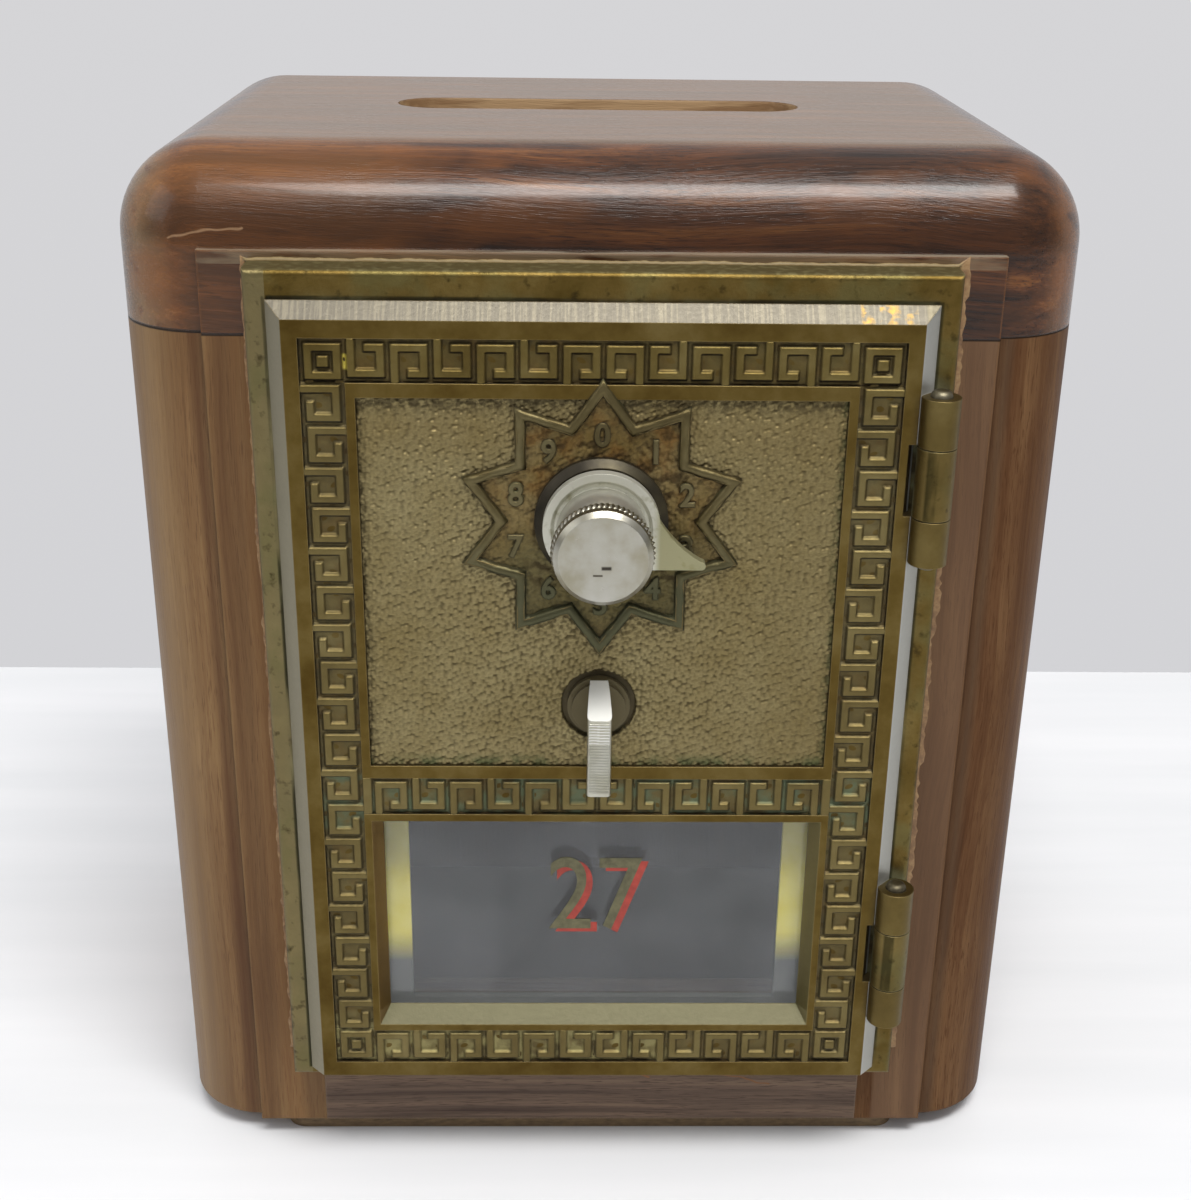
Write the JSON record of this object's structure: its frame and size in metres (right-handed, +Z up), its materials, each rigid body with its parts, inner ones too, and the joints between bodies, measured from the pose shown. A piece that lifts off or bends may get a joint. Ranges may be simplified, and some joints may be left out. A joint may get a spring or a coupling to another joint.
{
  "type": "wooden money box",
  "caption": "Walnut money box with a coin slot in its top and a cast brass front door, shut by a pointer dial lock and a thumb lever, with a glazed window.",
  "frame": {"origin": "middle of the underside of the base panel", "axes": "+Z up, the door faces -Y, +X to the right of a person who faces the door"},
  "size_m": [0.1256, 0.103, 0.1494],
  "materials": {
    "walnut_top": "oiled, worn satin",
    "walnut_side": "oiled, worn satin",
    "walnut_back": "oiled",
    "hardboard": "plain pressed face",
    "dowel_wood": "plain turned",
    "steel": "plated",
    "pin_brass": "dull",
    "frame_brass": "aged olive patina",
    "door_brass": "aged olive patina",
    "window_glass": "polished",
    "cream_paint": "old gloss paint",
    "lock_brass": "sheet brass",
    "dark_bronze": "blackened",
    "nickel": "nickel plate, worn"
  },
  "bodies": {
    "case": {"top_board": "walnut_top", "left_side": "walnut_side", "right_side": "walnut_side", "bottom_rail": "walnut_side", "back_panel": "walnut_back", "base_panel": "hardboard", "top_dowels": "dowel_wood", "rail_dowels": "dowel_wood", "bottom_screws": "steel", "door_frame": "frame_brass", "frame_screws": "steel", "hinge_pins": "pin_brass"},
    "door": {"door_panel": "door_brass", "window_glass": "window_glass", "glass_retainer": "cream_paint", "retainer_screws": "steel", "lock_case": "lock_brass", "case_screws": "steel", "dial_bush": "dark_bronze", "lever_bush": "dark_bronze", "bush_nuts": "lock_brass", "guide_post": "lock_brass"},
    "dial": {"dial_knob": "nickel", "dial_spindle": "steel", "drive_wheel": "lock_brass", "spacer_washers": "lock_brass", "dial_clip": "steel"},
    "middle_tumbler": {"middle_wheel": "lock_brass"},
    "front_tumbler": {"front_wheel": "lock_brass"},
    "lever": {"latch_lever": "nickel", "lever_spindle": "steel", "crank_disc": "lock_brass"},
    "bolt": {"latch_bolt": "lock_brass", "fence_bar": "lock_brass"}
  },
  "joints": [
    {"name": "door_swing", "type": "hinge", "parent": "case", "child": "door", "pos_m": [0.0422, -0.0489, 0.0747], "axis": [0, 0, 1], "range_deg": [0, 170]},
    {"name": "dial_turn", "type": "hinge", "parent": "door", "child": "dial", "pos_m": [0, -0.0487, 0.1046], "axis": [0, 1, 0], "continuous": true},
    {"name": "middle_wheel_turn", "type": "hinge", "parent": "door", "child": "middle_tumbler", "pos_m": [0, -0.04, 0.1046], "axis": [0, 1, 0], "continuous": true},
    {"name": "front_wheel_turn", "type": "hinge", "parent": "door", "child": "front_tumbler", "pos_m": [0, -0.043, 0.1046], "axis": [0, 1, 0], "continuous": true},
    {"name": "lever_turn", "type": "hinge", "parent": "door", "child": "lever", "pos_m": [0, -0.0487, 0.0783], "axis": [0, 1, 0], "range_deg": [0, 60]},
    {"name": "bolt_slide", "type": "slide", "parent": "door", "child": "bolt", "axis": [-1, 0, 0], "range_m": [0, 0.006]}
  ],
  "couplings": [
    {"joint": "middle_wheel_turn", "follows": "dial_turn", "ratio": 1},
    {"joint": "front_wheel_turn", "follows": "dial_turn", "ratio": 1},
    {"joint": "bolt_slide", "follows": "lever_turn", "m_per_rad": 0.005729}
  ]
}
